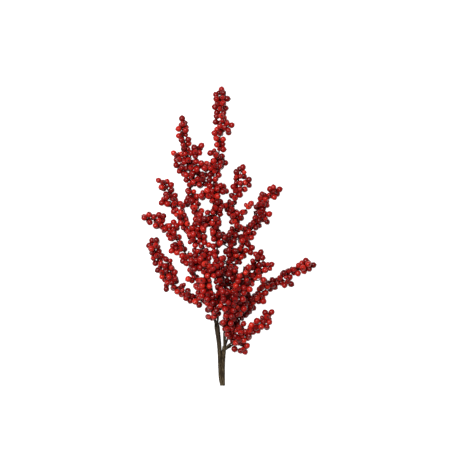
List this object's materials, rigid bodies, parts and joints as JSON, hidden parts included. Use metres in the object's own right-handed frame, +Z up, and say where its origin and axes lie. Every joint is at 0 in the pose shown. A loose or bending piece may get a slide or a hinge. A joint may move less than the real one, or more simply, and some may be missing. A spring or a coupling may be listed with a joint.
{
  "type": "rose hip sprig",
  "caption": "Cut sprig of small red rose hips, lying on its side: a woody stem of two grown-together stalks that fans out into slim, branched sprays set all round with round hips.",
  "frame": {"origin": "middle of the underside of the whole sprig's box, on the surface that it lies on", "axes": "+Y from the cut foot of the stem to the tips of the sprays, +Z up from the surface, +X to the right as seen from above with the tips away from the viewer"},
  "size_m": [0.2914, 0.497, 0.0781],
  "materials": {
    "bark": "rough brown bark",
    "red_hip": "dark red, satin to glossy"
  },
  "bodies": {
    "root": {"stem": "bark", "spray_leader": "red_hip", "spray_tall_left": "red_hip", "spray_upper_right": "red_hip", "spray_left": "red_hip", "spray_upper_left": "red_hip", "spray_lower_left": "red_hip", "spray_right": "red_hip", "spray_mid_right": "red_hip", "spray_far_right": "red_hip", "spray_lower_right": "red_hip", "spray_foot_right": "red_hip", "spray_front_centre": "red_hip", "spray_front_left": "red_hip"}
  },
  "joints": []
}
